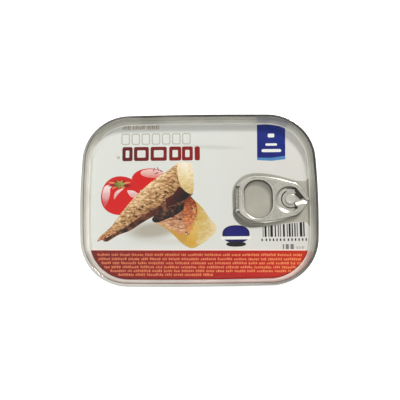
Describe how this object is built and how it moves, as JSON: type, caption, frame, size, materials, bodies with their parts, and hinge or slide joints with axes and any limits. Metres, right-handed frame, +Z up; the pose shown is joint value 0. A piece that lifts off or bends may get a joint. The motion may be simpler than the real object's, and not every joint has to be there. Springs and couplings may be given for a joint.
{
  "type": "sardine tin",
  "caption": "Shut oblong sardine tin: a shallow drawn can with a double-seamed easy-open end, a riveted ring-pull tab and a printed lid.",
  "frame": {"origin": "middle of the underside, on the surface the tin stands on", "axes": "+X along the tin towards the nose of the pull tab, +Y across the tin towards its back long side, +Z up through the lid"},
  "size_m": [0.106, 0.0776, 0.024],
  "materials": {
    "can_metal": "satin lacquered tin metal with fine drawing marks",
    "lid_print": "satin print of pale grey, red and picture colours over bare metal",
    "tab_metal": "satin stamped metal"
  },
  "bodies": {
    "root": {"can_body": "can_metal", "lid": "lid_print", "tab": "tab_metal"}
  },
  "joints": []
}
